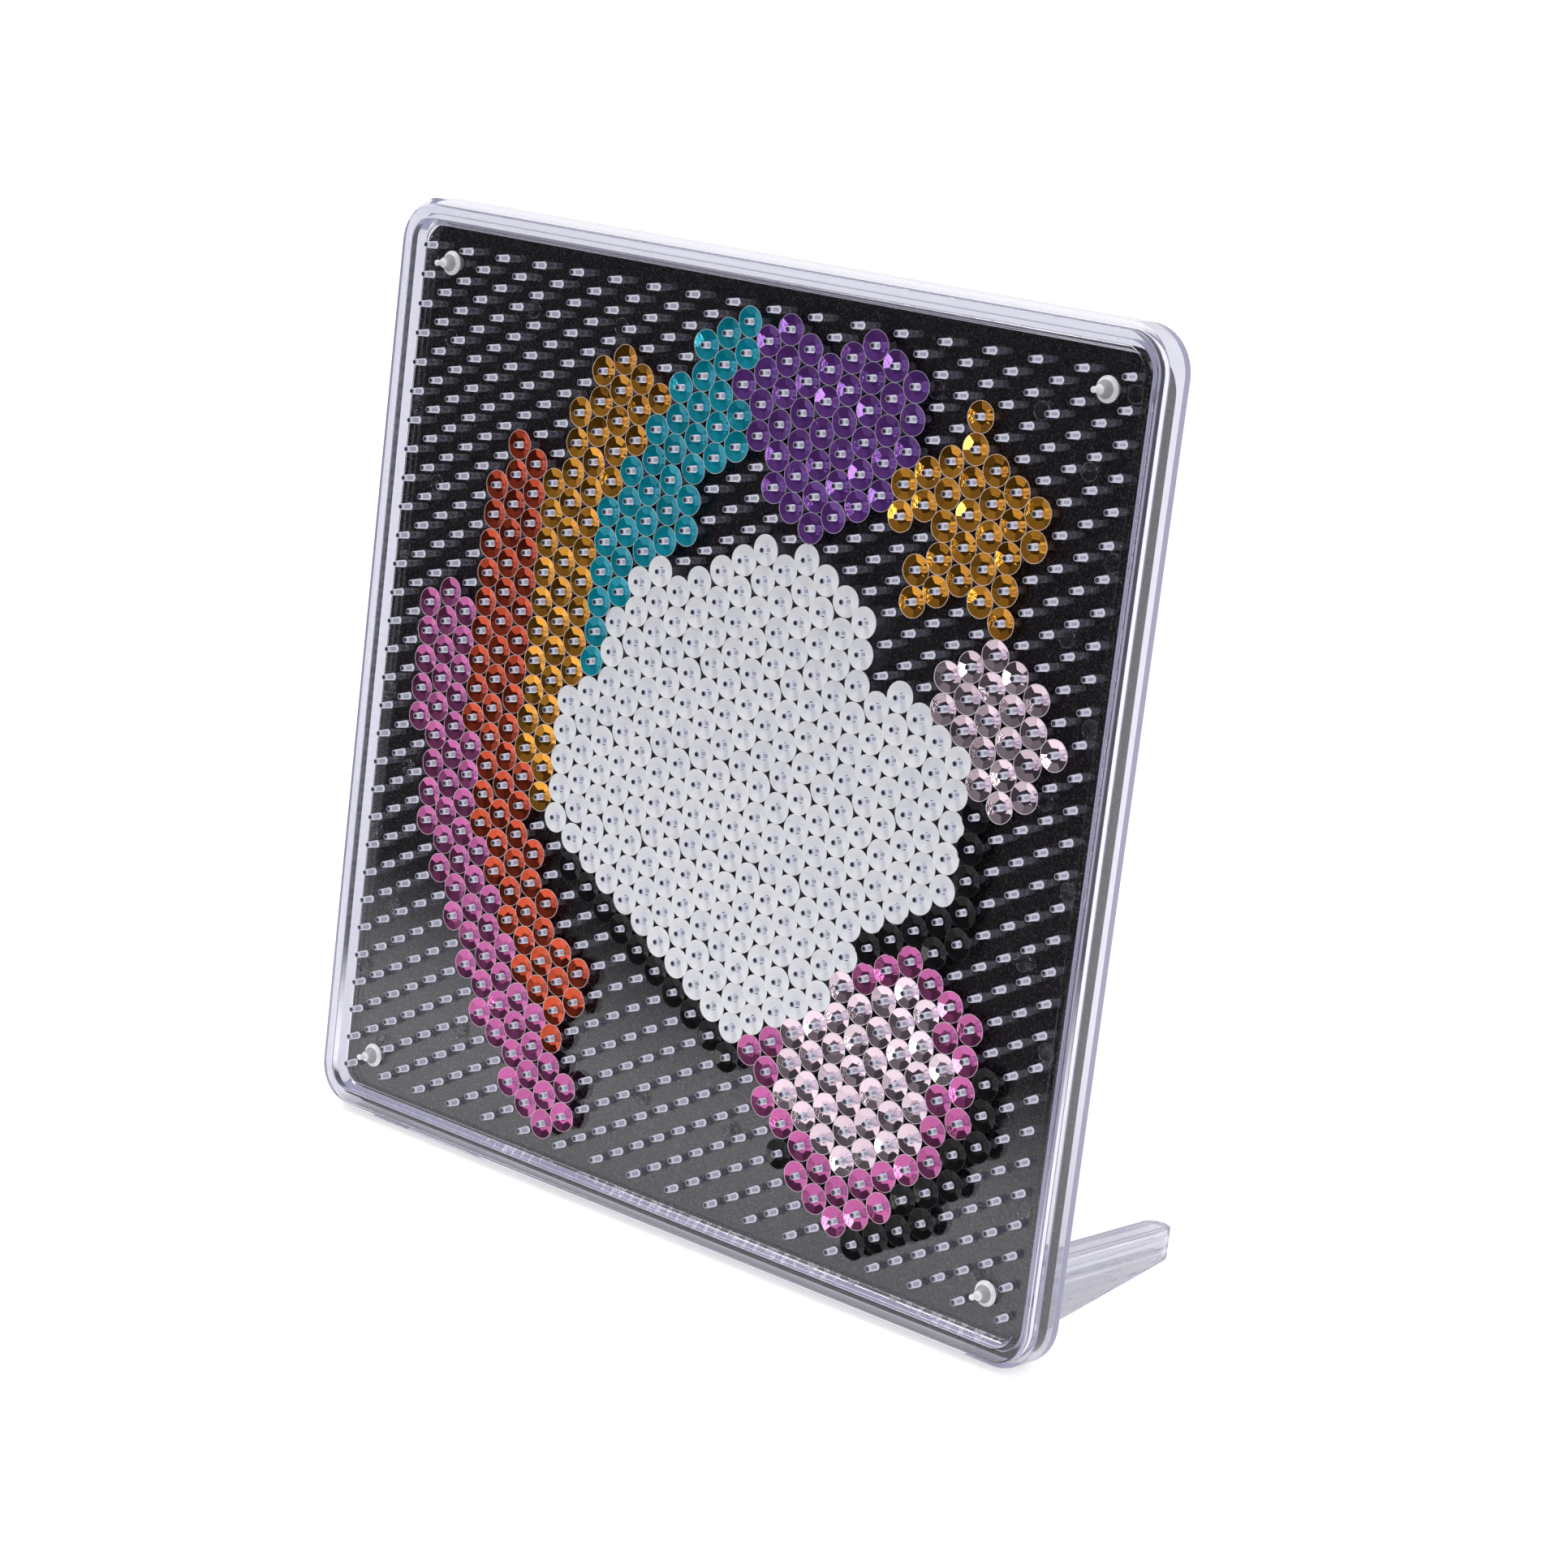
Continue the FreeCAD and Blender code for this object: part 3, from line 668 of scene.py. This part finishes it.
def build_shell(material):
    """The rear shell: a shallow box with the card's posts, the rivets' sockets and two collars."""
    shell = Moulding()
    section = list(bend(SHELL_EDGE, SHELL_EDGE, SHELL_EDGE, 270, 180))
    section += [(0, SHELL_DEPTH - SOFT_EDGE), (SOFT_EDGE, SHELL_DEPTH)]
    section += [(SHELL_WALL - SOFT_EDGE, SHELL_DEPTH), (SHELL_WALL, SHELL_DEPTH - SOFT_EDGE)]
    section += [(SHELL_WALL, SHELL_FLOOR + SOFT_EDGE), (SHELL_WALL + SOFT_EDGE, SHELL_FLOOR)]
    back, inside = shell.loft([shell_ring(inset, z) for inset, z in section])

    back_holes, floor_holes = [], []
    middles = ((0, 0), (1, 0), (-1, 0), (0, 1), (0, -1))
    plain = [(side_x * RIVET_X / 2, side_y * RIVET_Y / 2) for side_x, side_y in middles]
    post = [(POST_RADIUS + SOFT_EDGE, SHELL_FLOOR), (POST_RADIUS, SHELL_FLOOR + SOFT_EDGE)]
    post_top = CARD_LEVEL - CARD_GAP
    post += [(POST_RADIUS, post_top - SOFT_EDGE), (POST_RADIUS - SOFT_EDGE, post_top)]
    socket = [(RIVET_BORE, post_top), (RIVET_BORE, SHELL_FLOOR)]
    for x, y in plain:
        foot, top = shell.loft([circle(x, y, radius, z, 32) for radius, z in post])
        floor_holes.append(foot)
        shell.face(top)
    for x, y in corner_places():
        foot, bottom = shell.loft([circle(x, y, radius, z, 32) for radius, z in post + socket])
        floor_holes.append(foot)
        shell.face(bottom)

    middle_y = (FOOT_TOP + TONGUE_BOTTOM) / 2 - SHELL_HALF
    half_y = (FOOT_TOP - TONGUE_BOTTOM) / 2 + PUSH_FIT
    half_x = FOOT_WIDTH / 2 + PUSH_FIT
    for foot_x in foot_places():
        centre = (foot_x, middle_y)

        def collar_ring(growth, z):
            corner = SOCKET_CORNER + growth / COLLAR_WALL * (COLLAR_CORNER - SOCKET_CORNER)
            return rounded_rectangle(half_x + growth, half_y + growth, corner, z, centre, 6)

        section = [(COLLAR_WALL + SOFT_EDGE, 0), (COLLAR_WALL, -SOFT_EDGE)]
        section += [(COLLAR_WALL, SOFT_EDGE - COLLAR_HEIGHT)]
        section += [(COLLAR_WALL - SOFT_EDGE, -COLLAR_HEIGHT), (0, -COLLAR_HEIGHT)]
        section += [(0, SOCKET_END)]
        foot, end = shell.loft([collar_ring(growth, z) for growth, z in section])
        back_holes.append(foot)
        shell.face(end)

    shell.sheet(back, back_holes)
    shell.sheet(inside, floor_holes)
    piece = shell.piece("rear_shell_moulding", "rear_shell", "clear_shell", [material])
    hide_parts("rear_shell")


def foot_places():
    """X of each foot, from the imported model."""
    for node in ("foot_left", "foot_right"):
        low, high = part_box(node)
        yield (low.x + high.x) / 2 / MM


def build_card(material):
    """The card, bowed a little between its posts and the tray."""

    def bow(x, y):
        """Height above the posts: near 0 in the middle, more along some stretches of the edge."""
        reach = max(abs(x), abs(y)) / CARD_HALF
        wave = 0.5 + 0.3 * math.sin(x / 31 + 0.6) + 0.2 * math.sin(y / 19 - x / 47)
        return CARD_WARP * reach**3 * wave

    card = Moulding()
    spacing = 9.0
    edge_margin, hole_margin = 3, 1
    count = int(2 * CARD_HALF / spacing)
    lines = [(k - (count - 1) / 2) * spacing for k in range(count)]
    holes = [(x, y, CARD_RIVET_HOLE) for x, y in corner_places()] + [PEEPHOLE]
    sides = []
    for level in (CARD_LEVEL, CARD_LEVEL + CARD_THICKNESS):
        outline = []
        half_y = CARD_HEIGHT / 2
        for point in rounded_rectangle(CARD_HALF, half_y, CARD_CORNER, level, CARD_SHIFT):
            if outline and (point - outline[-1]).length > spacing:
                pieces = round((point - outline[-1]).length / spacing)
                start = outline[-1]
                outline += [start.lerp(point, k / pieces) for k in range(1, pieces)]
            outline.append(point)
        closing = outline[0] - outline[-1]
        pieces = round(closing.length / spacing)
        outline += [outline[-1] + closing * k / pieces for k in range(1, pieces)]
        edge = card.loop(outline)
        rings = [card.loop(circle(x, y, radius, level, 24)) for x, y, radius in holes]
        inner = []
        for x in lines:
            for y in lines:
                clear = all(math.hypot(x - a, y - b) > r + hole_margin for a, b, r in holes)
                if clear and max(abs(x), abs(y)) < CARD_HALF - edge_margin:
                    inner.append(Vector((x, y, level)))
        card.sheet(edge, rings, card.loop(inner))
        sides.append([edge, *rings])
    for lower, upper in zip(*sides):
        card.wall(lower, upper)
    for point in card.points:
        point.z += bow(point.x, point.y)
    piece = card.piece("backing_card_sheet", "backing_card", "black_card", [material])
    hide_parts("backing_card")


# ---------------------------------------------------------------- rivets and feet


def build_rivet(corner, side_x, side_y, materials):
    """A push rivet: shank, dished head, a hazy boss and the nib that its gate left."""
    rivet = Moulding()
    x, y = side_x * RIVET_X, side_y * RIVET_Y
    section = [(RIVET_SHANK - 0.3, -RIVET_REACH), (RIVET_SHANK, 0.3 - RIVET_REACH)]
    section += [(RIVET_SHANK, 0), (RIVET_HEAD - SOFT_EDGE, 0)]
    section += bend(RIVET_HEAD - 0.2, 0.3, 0.2, -60, 90)
    section += [(2.0, 0.62), (1.7, BOSS[0]), (1.42, 1.45), (1.24, 2.1), (1.1, 2.5)]
    section += [(0.95, BOSS[1]), (0.66, BOSS[1]), (0.6, 2.7), (0.58, 4.2)]
    section += bend(0.33, 4.45, 0.25, 0, 80)
    outlines = [circle(x, y, radius, PLATE_LEVEL + z, 40) for radius, z in section]
    loops = [rivet.loop(outline) for outline in outlines]
    for first, second, (_, z) in zip(loops, loops[1:], section):
        rivet.wall(first, second, int(BOSS[0] <= z < BOSS[1]))
    rivet.face(loops[0])
    rivet.face(loops[-1])
    bent = 0.10 if (side_x, side_y) == (-1, -1) else 0.03  # the nibs lean a little
    for point in rivet.points:
        above = max(0.0, point.z - PLATE_LEVEL - BOSS[1])
        point.x += bent * above
        point.y -= bent * above * side_y
    name = f"rivet_{corner}"
    piece = rivet.piece(f"{name}_pin", name, "milky_rivet", materials)
    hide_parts(name)


def build_foot(node, x, material):
    """A foot: a channel open below, with a tongue for its socket."""
    low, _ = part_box(node)
    lower = -SHELL_HALF
    top = lower + FOOT_TOP

    def floor_y(depth):
        """Height of the floor in the board's frame at this depth behind the back face."""
        on_axis = TO_BOARD @ Vector((0, 0, low.z))
        return on_axis.y + (depth + on_axis.z) * math.tan(LEAN)

    tongue_y = lower + TONGUE_BOTTOM
    shoulder = COLLAR_HEIGHT + PUSH_FIT
    side_view = [
        (top, TONGUE_END),
        (tongue_y, TONGUE_END),
        (tongue_y, -shoulder),
        (floor_y(shoulder), -shoulder),
        (floor_y(FOOT_REACH), -FOOT_REACH),
        (top, -FOOT_REACH),
    ]
    work = bmesh.new()
    start = x - FOOT_WIDTH / 2
    corners = [work.verts.new((start, y, z)) for y, z in side_view]
    face = work.faces.new(corners)
    grown = bmesh.ops.extrude_face_region(work, geom=[face])["geom"]
    for item in grown:
        if isinstance(item, bmesh.types.BMVert):
            item.co.x += FOOT_WIDTH

    def at_end(edge):
        near = 1e-4
        ends = [corner.co for corner in edge.verts]
        upright = abs(ends[0].x - ends[1].x) < near
        return upright and all(abs(end.z + FOOT_REACH) < near for end in ends)

    ends = [edge for edge in work.edges if at_end(edge)]
    bmesh.ops.bevel(work, geom=ends, offset=FOOT_END, segments=10, profile=0.5, affect="EDGES")
    work.faces.ensure_lookup_table()
    bmesh.ops.recalc_face_normals(work, faces=work.faces)
    sole = max((f for f in work.faces if f.normal.y < -0.9), key=lambda f: f.calc_area())
    bmesh.ops.inset_region(work, faces=[sole], thickness=FOOT_WALL, use_even_offset=True)
    hollow = bmesh.ops.extrude_face_region(work, geom=[sole])["geom"]
    bmesh.ops.delete(work, geom=[sole], context="FACES_ONLY")
    for item in hollow:
        if isinstance(item, bmesh.types.BMVert):
            item.co.y = top - FOOT_WEB
    bmesh.ops.recalc_face_normals(work, faces=work.faces)
    sharp_above, rounding = math.radians(35), 0.25
    sharp = [edge for edge in work.edges if edge.calc_face_angle(0) > sharp_above]
    bmesh.ops.bevel(
        work,
        geom=sharp,
        offset=rounding,
        segments=3,
        profile=0.5,
        affect="EDGES",
        clamp_overlap=True,
    )
    bmesh.ops.transform(work, matrix=BOARD, verts=work.verts)
    name = f"{node}_bar"
    mesh = bpy.data.meshes.new(name)
    work.to_mesh(mesh)
    work.free()
    piece = finish_piece(mesh, name, node, [material])
    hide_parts(node)


# ---------------------------------------------------------------- sequins


def sequin_places(node):
    """(x, y, level) of every sequin of a CAD node, found from the points around its hole."""
    mesh = frame["nodes"][node].data
    flat = np.empty(len(mesh.vertices) * 3)
    mesh.vertices.foreach_get("co", flat)
    world = flat.reshape(-1, 3)
    matrix = np.array(TO_BOARD)
    points = world @ matrix[:3, :3].T + matrix[:3, 3]
    columns = np.round(points[:, 0] / COLUMN_STEP + (COLUMNS - 1) / 2)
    rows = np.round(points[:, 1] / PITCH + (ROWS - 1) / 2 - columns % 2 / 2)
    levels = {}
    for point, column, row in zip(points, columns, rows):
        x, y = column_x(int(column)), row_y(int(column), row)
        if math.hypot(point[0] - x, point[1] - y) < SEQUIN_FLAT:
            levels[x, y] = min(point[2], levels.get((x, y), math.inf))
    return [(x, y, level) for (x, y), level in sorted(levels.items())]


def cup_outline(facets):
    """Loops of one sequin about its own axis, from the hole underneath round to the hole on top."""
    steps = 4
    sides = facets * steps
    slope = SEQUIN_RISE / (SEQUIN_RADIUS - SEQUIN_FLAT)
    loops = []
    sides_of_film = (
        (0, ("hole", "flat", "rim")),
        (SEQUIN_THICKNESS, ("rim", "lip", "flat", "hole")),
    )
    for z, rings in sides_of_film:
        for ring in rings:
            loop = []
            for side in range(sides):
                angle = side / sides * 2 * math.pi
                turn = (side % steps / steps - 0.5) * 2 * math.pi / facets
                if ring == "hole":
                    radius, height = SEQUIN_HOLE, 0
                elif ring == "flat":
                    radius, height = SEQUIN_FLAT / math.cos(turn), 0
                else:
                    radius = SEQUIN_RADIUS - (HIGHLIGHT_BAND if ring == "lip" else 0)
                    height = (radius * math.cos(turn) - SEQUIN_FLAT) * slope
                x, y = radius * math.cos(angle), radius * math.sin(angle)
                loop.append(Vector((x, y, z + height)))
            loops.append(loop)
    return loops


def build_sequins(colour, materials, facets, tilt, draw):
    """All sequins of one colour, each turned, tilted and shifted a little on its peg."""
    node = f"sequins_{colour}"
    pattern = cup_outline(facets)
    sequins = Moulding()
    for x, y, level in sequin_places(node):
        turn = Matrix.Rotation(draw.uniform(0, 2 * math.pi), 4, "Z")
        axis = Vector((draw.uniform(-1, 1), draw.uniform(-1, 1), 0)).normalized()
        lean = Matrix.Rotation(math.radians(min(MOST_TILT, abs(draw.gauss(0, tilt)))), 4, axis)
        shift = Vector((draw.uniform(-LOOSE, LOOSE), draw.uniform(-LOOSE, LOOSE), 0))
        place = Matrix.Translation(Vector((x, y, level)) + shift) @ lean @ turn
        loops = [sequins.loop([place @ point for point in loop]) for loop in pattern]
        for first, second, finish in zip(loops, loops[1:] + loops[:1], FILM_WALLS):
            sequins.wall(first, second, finish)
    flat = facets == FOIL_FACETS
    piece = sequins.piece(f"{node}_cups", "sequins", f"sequin_{colour}", materials, flat)
    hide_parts(node)


# ---------------------------------------------------------------- studio


def add_mix(tree, factor, first, second):
    """A mix of two colours, each a triple or a socket."""
    mix = tree.nodes.new("ShaderNodeMix")
    mix.data_type = "RGBA"
    tree.links.new(factor, mix.inputs["Factor"])
    for socket, colour in ((mix.inputs["A"], first), (mix.inputs["B"], second)):
        if isinstance(colour, tuple):
            socket.default_value = (*colour, 1)
        else:
            tree.links.new(colour, socket)
    return mix.outputs["Result"]


def add_floor():
    """A pale glowing table. What the object mirrors of it fades out in front."""
    mesh = bpy.data.meshes.new("studio_floor")
    signs = ((-1, -1), (1, -1), (1, 1), (-1, 1))
    corners = [(side_x * FLOOR_REACH, side_y * FLOOR_REACH, 0) for side_x, side_y in signs]
    mesh.from_pydata(corners, [], [(0, 1, 2, 3)])
    material, tree, shader = node_material("studio_floor", Roughness=0.7, IOR=1.3)
    place = tree.nodes.new("ShaderNodeNewGeometry")
    split = tree.nodes.new("ShaderNodeSeparateXYZ")
    tree.links.new(place.outputs["Position"], split.inputs["Vector"])
    path = tree.nodes.new("ShaderNodeLightPath")
    seen = path.outputs["Is Camera Ray"]
    fade = add_math(tree, "MAXIMUM", add_rise(tree, split.outputs["Y"], *FLOOR_FADE), seen)
    colour = add_mix(tree, fade, (0.02, 0.02, 0.02), (0.85, 0.85, 0.86))
    white = add_mix(tree, seen, (FLOOR_MIRRORED,) * 3, (FLOOR_GLOW,) * 3)
    glow = add_mix(tree, fade, (0.0, 0.0, 0.0), white)
    tree.links.new(colour, shader.inputs["Base Color"])
    tree.links.new(glow, shader.inputs["Emission Color"])
    shader.inputs["Emission Strength"].default_value = 1.0
    mesh.materials.append(material)
    floor = bpy.data.objects.new("studio_floor", mesh)
    bpy.context.scene.collection.objects.link(floor)


def add_softbox(name, place, width, height, power):
    """An area light that faces the object."""
    light = bpy.data.lights.new(name, "AREA")
    light.shape = "RECTANGLE"
    light.size, light.size_y = width, height
    light.energy = power
    box = bpy.data.objects.new(name, light)
    box.location = place
    box.rotation_euler = (Vector(AIM) - Vector(place)).to_track_quat("-Z", "Y").to_euler()
    bpy.context.scene.collection.objects.link(box)


def add_room():
    """A light tent, open in front: the room there is dim and brightens towards the ceiling.

    The camera sees plain white past the floor's end.
    """
    world = bpy.data.worlds.new("studio_room")
    bpy.context.scene.world = world
    world.use_nodes = True
    tree = world.node_tree
    place = tree.nodes.new("ShaderNodeTexCoord")
    split = tree.nodes.new("ShaderNodeSeparateXYZ")
    tree.links.new(place.outputs["Generated"], split.inputs["Vector"])
    front = add_ramp(tree, split.outputs["Z"], ROOM_LIGHT)
    fade = add_rise(tree, split.outputs["Y"], *TENT_FADE)
    tent = add_mix(tree, fade, front, TENT_LIGHT)
    path = tree.nodes.new("ShaderNodeLightPath")
    light = add_mix(tree, path.outputs["Is Camera Ray"], tent, WHITE)
    tree.links.new(light, tree.nodes["Background"].inputs["Color"])


def add_camera():
    """The camera orbits the middle of the pegs, and then turns a little off it."""
    middle = BOARD @ Vector((0, 0, PLATE_LEVEL + PEG_HEIGHT / 2))
    azimuth, elevation = math.radians(CAMERA_AZIMUTH), math.radians(CAMERA_ELEVATION)
    flat = CAMERA_DISTANCE * math.cos(elevation)
    rise = CAMERA_DISTANCE * math.sin(elevation)
    offset = (flat * math.sin(azimuth), -flat * math.cos(azimuth), rise)
    data = bpy.data.cameras.new("camera")
    data.lens = CAMERA_LENS
    data.sensor_width = 36.0
    camera = bpy.data.objects.new("camera", data)
    camera.location = middle + Vector(offset)
    camera.rotation_euler = (math.radians(90 - CAMERA_DOWN), 0, math.radians(CAMERA_TURN))
    bpy.context.scene.collection.objects.link(camera)
    bpy.context.scene.camera = camera


# ---------------------------------------------------------------- the object

clear = clear_plastic("clear_polystyrene")
# the pegs' two extra materials carry a painted glow
build_tray([clear, clear_plastic("peg_painted_glow", 1.0), clear_plastic("peg_edge_painted_glow", "edges")])
build_shell(clear)
build_card(card_material())
rivet_materials = [milky_plastic("milky_plastic", 0.05), milky_plastic("hazy_plastic", 0.6)]
for corner, side_x, side_y in (
    ("top_left", -1, 1),
    ("top_right", 1, 1),
    ("bottom_left", -1, -1),
    ("bottom_right", 1, -1),
):
    build_rivet(corner, side_x, side_y, rivet_materials)
ribbed = clear_plastic("ribbed_polystyrene", ribbed=True)
for node, x in zip(("foot_left", "foot_right"), foot_places()):
    build_foot(node, x, ribbed)

draw = random.Random(7)
for colour, (base, metallic, coat) in FOILS.items():
    foil = foil_material(f"foil_{colour}", base, metallic, coat)
    # rim material: the painted highlight along each sequin's edge
    rim = edge_highlight_material(f"rim_{colour}", base)
    build_sequins(colour, [foil, rim], FOIL_FACETS, FOIL_TILT, draw)
satin = satin_material("satin_white", WHITE_FILM)
rim = edge_highlight_material("white_edge_highlight", WHITE_FILM)
build_sequins("white", [satin, rim], SATIN_FACETS, SATIN_TILT, draw)

# ---------------------------------------------------------------- studio and camera

add_floor()
add_room()
for softbox in SOFTBOXES:
    add_softbox(*softbox)
add_camera()
bpy.context.scene.view_settings.view_transform = "Standard"
